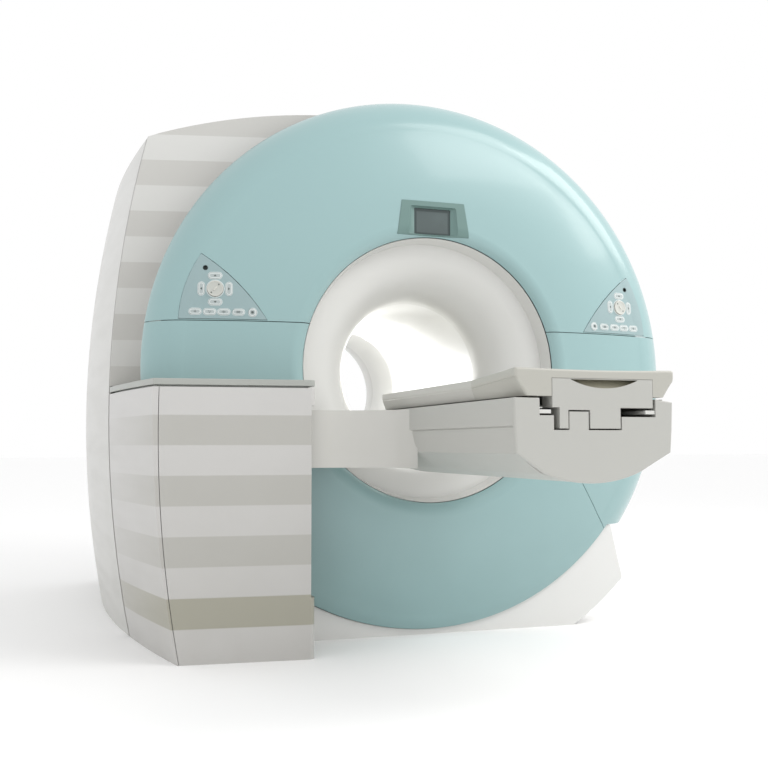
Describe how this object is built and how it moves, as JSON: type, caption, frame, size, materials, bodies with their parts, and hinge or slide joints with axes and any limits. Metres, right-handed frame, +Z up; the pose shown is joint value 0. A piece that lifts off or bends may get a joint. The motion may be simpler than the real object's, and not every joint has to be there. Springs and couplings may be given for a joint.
{
  "type": "mri scanner",
  "caption": "Whole-body magnetic resonance scanner: round flared bore in a pillow-shaped ring, side pedestal, and a patient table on a lifting arm with a sliding couch.",
  "frame": {"origin": "on the floor, straight below the middle of the magnet", "axes": "+Y along the bore from the patient's end to the rear, +X across to the scanner's right as seen from the patient's end, +Z up"},
  "size_m": [2.394, 3.375, 2.1608],
  "materials": {
    "ring_shell": "satin paint, pale blue green",
    "white_shell": "semi-gloss moulded cover",
    "table_plastic": "semi-gloss moulded cover",
    "display_surround": "satin",
    "screen_glass": "dark polished screen",
    "seal_rubber": "matt",
    "rail_plastic": "low-friction plastic",
    "panel_plastic": "satin membrane panel",
    "vessel_steel": "brushed",
    "coil_resin": "cast resin",
    "painted_steel": "satin",
    "bright_steel": "ground",
    "machined_aluminium": "machined",
    "motor_paint": "satin",
    "key_red": "satin",
    "key_plastic": "satin",
    "dial_plastic": "satin"
  },
  "bodies": {
    "gantry": {"base_plinth": "white_shell", "bore_bridge": "white_shell", "bore_liner": "white_shell", "cold_head": "machined_aluminium", "control_panel_left": "panel_plastic", "control_panel_right": "panel_plastic", "cryostat": "vessel_steel", "display_frame": "display_surround", "display_screen": "screen_glass", "drum_cover": "white_shell", "funnel_front": "white_shell", "funnel_rear": "white_shell", "gradient_coil": "coil_resin", "lift_column": "painted_steel", "lift_motor": "motor_paint", "magnet_cradle": "painted_steel", "pedestal_cap": "white_shell", "pedestal_cover": "white_shell", "rear_cover": "white_shell", "ring_cover_left": "ring_shell", "ring_cover_lower": "ring_shell", "ring_cover_right": "ring_shell", "ring_cover_upper": "ring_shell", "roof_cover": "white_shell", "slot_seal": "seal_rubber", "tower_front_cover": "white_shell", "tower_side_cover": "white_shell"},
    "lift_table": {"lift_carriage": "painted_steel", "support_arm": "painted_steel", "arm_cover": "table_plastic", "table_shell": "table_plastic", "table_end_cover": "table_plastic", "table_deck": "table_plastic", "table_frame": "painted_steel", "guide_rails": "rail_plastic", "travel_drive": "motor_paint"},
    "couch": {"couch_top": "table_plastic", "couch_foot_wings": "table_plastic", "couch_end_piece": "table_plastic"},
    "spindle": {"lift_spindle": "bright_steel"},
    "key_up_left": {"key_up_left": "key_plastic"},
    "key_down_left": {"key_down_left": "key_plastic"},
    "key_in_left": {"key_in_left": "key_plastic"},
    "key_out_left": {"key_out_left": "key_plastic"},
    "key_light_left": {"key_light_left": "key_plastic"},
    "key_fan_left": {"key_fan_left": "key_plastic"},
    "key_talk_left": {"key_talk_left": "key_plastic"},
    "key_home_left": {"key_home_left": "key_plastic"},
    "key_stop_left": {"key_stop_left": "key_red"},
    "dial_left": {"dial_left": "dial_plastic"},
    "key_up_right": {"key_up_right": "key_plastic"},
    "key_down_right": {"key_down_right": "key_plastic"},
    "key_in_right": {"key_in_right": "key_plastic"},
    "key_out_right": {"key_out_right": "key_plastic"},
    "key_light_right": {"key_light_right": "key_plastic"},
    "key_fan_right": {"key_fan_right": "key_plastic"},
    "key_talk_right": {"key_talk_right": "key_plastic"},
    "key_home_right": {"key_home_right": "key_plastic"},
    "key_stop_right": {"key_stop_right": "key_red"},
    "dial_right": {"dial_right": "dial_plastic"}
  },
  "joints": [
    {"name": "table_lift", "type": "slide", "parent": "gantry", "child": "lift_table", "axis": [0, 0, 1], "range_m": [-0.42, 0]},
    {"name": "lift_spindle_spin", "type": "hinge", "parent": "gantry", "child": "spindle", "pos_m": [-0.8, -1.075, 0.5], "axis": [0, 0, 1], "range_deg": [-7565, 5]},
    {"name": "couch_travel", "type": "slide", "parent": "lift_table", "child": "couch", "axis": [0, 1, 0], "range_m": [0, 0.95]},
    {"name": "press_up_left", "type": "slide", "parent": "gantry", "child": "key_up_left", "axis": [0.2022, 0.9771, -0.0667], "range_m": [0, 0.002], "stiffness_N_per_m": 900},
    {"name": "press_down_left", "type": "slide", "parent": "gantry", "child": "key_down_left", "axis": [0.2022, 0.9771, -0.0667], "range_m": [0, 0.002], "stiffness_N_per_m": 900},
    {"name": "press_in_left", "type": "slide", "parent": "gantry", "child": "key_in_left", "axis": [0.2022, 0.9771, -0.0667], "range_m": [0, 0.002], "stiffness_N_per_m": 900},
    {"name": "press_out_left", "type": "slide", "parent": "gantry", "child": "key_out_left", "axis": [0.2022, 0.9771, -0.0667], "range_m": [0, 0.002], "stiffness_N_per_m": 900},
    {"name": "press_light_left", "type": "slide", "parent": "gantry", "child": "key_light_left", "axis": [0.2022, 0.9771, -0.0667], "range_m": [0, 0.002], "stiffness_N_per_m": 900},
    {"name": "press_fan_left", "type": "slide", "parent": "gantry", "child": "key_fan_left", "axis": [0.2022, 0.9771, -0.0667], "range_m": [0, 0.002], "stiffness_N_per_m": 900},
    {"name": "press_talk_left", "type": "slide", "parent": "gantry", "child": "key_talk_left", "axis": [0.2022, 0.9771, -0.0667], "range_m": [0, 0.002], "stiffness_N_per_m": 900},
    {"name": "press_home_left", "type": "slide", "parent": "gantry", "child": "key_home_left", "axis": [0.2022, 0.9771, -0.0667], "range_m": [0, 0.002], "stiffness_N_per_m": 900},
    {"name": "press_stop_left", "type": "slide", "parent": "gantry", "child": "key_stop_left", "axis": [0.2022, 0.9771, -0.0667], "range_m": [0, 0.002], "stiffness_N_per_m": 900},
    {"name": "turn_dial_left", "type": "hinge", "parent": "gantry", "child": "dial_left", "pos_m": [-0.858, -1.02685, 1.328], "axis": [-0.2022, -0.9771, 0.0667], "continuous": true},
    {"name": "press_up_right", "type": "slide", "parent": "gantry", "child": "key_up_right", "axis": [-0.2022, 0.9771, -0.0667], "range_m": [0, 0.002], "stiffness_N_per_m": 900},
    {"name": "press_down_right", "type": "slide", "parent": "gantry", "child": "key_down_right", "axis": [-0.2022, 0.9771, -0.0667], "range_m": [0, 0.002], "stiffness_N_per_m": 900},
    {"name": "press_in_right", "type": "slide", "parent": "gantry", "child": "key_in_right", "axis": [-0.2022, 0.9771, -0.0667], "range_m": [0, 0.002], "stiffness_N_per_m": 900},
    {"name": "press_out_right", "type": "slide", "parent": "gantry", "child": "key_out_right", "axis": [-0.2022, 0.9771, -0.0667], "range_m": [0, 0.002], "stiffness_N_per_m": 900},
    {"name": "press_light_right", "type": "slide", "parent": "gantry", "child": "key_light_right", "axis": [-0.2022, 0.9771, -0.0667], "range_m": [0, 0.002], "stiffness_N_per_m": 900},
    {"name": "press_fan_right", "type": "slide", "parent": "gantry", "child": "key_fan_right", "axis": [-0.2022, 0.9771, -0.0667], "range_m": [0, 0.002], "stiffness_N_per_m": 900},
    {"name": "press_talk_right", "type": "slide", "parent": "gantry", "child": "key_talk_right", "axis": [-0.2022, 0.9771, -0.0667], "range_m": [0, 0.002], "stiffness_N_per_m": 900},
    {"name": "press_home_right", "type": "slide", "parent": "gantry", "child": "key_home_right", "axis": [-0.2022, 0.9771, -0.0667], "range_m": [0, 0.002], "stiffness_N_per_m": 900},
    {"name": "press_stop_right", "type": "slide", "parent": "gantry", "child": "key_stop_right", "axis": [-0.2022, 0.9771, -0.0667], "range_m": [0, 0.002], "stiffness_N_per_m": 900},
    {"name": "turn_dial_right", "type": "hinge", "parent": "gantry", "child": "dial_right", "pos_m": [0.858, -1.02685, 1.328], "axis": [0.2022, -0.9771, 0.0667], "continuous": true}
  ],
  "couplings": [
    {"joint": "lift_spindle_spin", "follows": "table_lift", "rad_per_m": 314.16}
  ]
}
